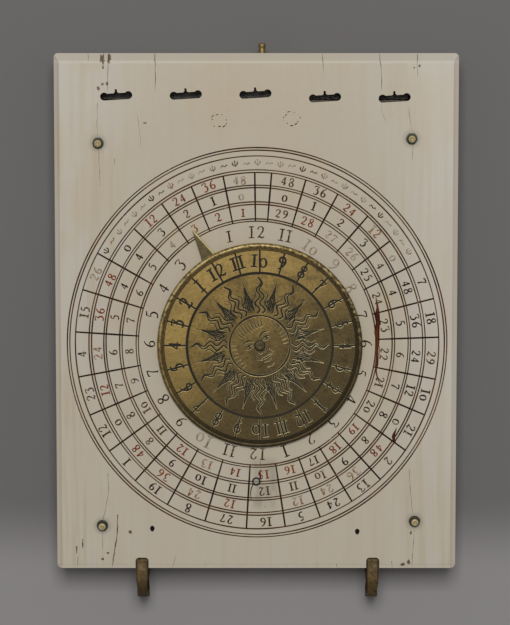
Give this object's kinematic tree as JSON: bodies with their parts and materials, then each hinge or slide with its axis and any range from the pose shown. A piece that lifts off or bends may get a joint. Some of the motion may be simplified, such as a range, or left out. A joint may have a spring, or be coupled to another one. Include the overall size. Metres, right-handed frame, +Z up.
{
  "type": "diptych sundial",
  "caption": "Folding pocket sundial of two hinged ivory leaves, with a turning brass lunar disc, foot studs, a swing catch and a glazed magnetic compass inside.",
  "frame": {"origin": "centre of the flat outer face of the string leaf, on which the closed dial lies", "axes": "+X across the leaves to the right, +Y from the hinge edge to the catch edge, +Z up out of the face with the turning disc"},
  "size_m": [0.092, 0.1289, 0.0151],
  "materials": {
    "ivory": "old polished ivory, yellowed along the grain, with cracks and ink-filled engraving",
    "engraved_brass": "engraved sheet brass, dulled and stained dark in the cuts",
    "brass_fittings": "turned brass, tarnished, with green round its seats",
    "hinge_brass": "bent brass strip, dark brown patina, worn at the bend",
    "iron": "rusted black iron",
    "blued_iron": "blued iron, lightly rusted",
    "card": "aged card with drawn compass rose",
    "glass": "thin old window glass"
  },
  "bodies": {
    "string_half": {"string_leaf": "ivory", "string_strap_left": "hinge_brass", "string_strap_right": "hinge_brass", "hinge_pin_left": "hinge_brass", "hinge_pin_right": "hinge_brass", "string_nail_left": "iron", "string_nail_right": "iron", "catch_pin": "brass_fittings"},
    "compass_half": {"compass_leaf": "ivory", "volvelle_rivet": "brass_fittings", "rivet_rove": "brass_fittings", "foot_stud_1": "brass_fittings", "foot_stud_2": "brass_fittings", "foot_stud_3": "brass_fittings", "foot_stud_4": "brass_fittings", "compass_strap_left": "hinge_brass", "compass_strap_right": "hinge_brass", "compass_nail_left": "iron", "compass_nail_right": "iron", "catch_stud": "brass_fittings", "compass_card": "card", "compass_pivot": "brass_fittings", "compass_glass": "glass", "compass_ring": "brass_fittings"},
    "volvelle": {"volvelle_disc": "engraved_brass"},
    "needle": {"compass_needle": "blued_iron", "needle_cap": "brass_fittings"},
    "hook": {"catch_hook": "brass_fittings"}
  },
  "joints": [
    {"name": "leaf_hinge", "type": "hinge", "parent": "string_half", "child": "compass_half", "pos_m": [0, -0.0663, 0.0056], "axis": [1, 0, 0], "range_deg": [0, 90]},
    {"name": "volvelle_turn", "type": "hinge", "parent": "compass_half", "child": "volvelle", "pos_m": [0.0008, -0.0074, 0.0133], "axis": [0, 0, 1], "continuous": true},
    {"name": "needle_turn", "type": "hinge", "parent": "compass_half", "child": "needle", "pos_m": [0, -0.039, 0.0085], "axis": [0, 0, 1], "continuous": true},
    {"name": "catch_swing", "type": "hinge", "parent": "string_half", "child": "hook", "pos_m": [0.0013, 0.0587, 0.00275], "axis": [0, 1, 0], "range_deg": [-90, 0]}
  ]
}
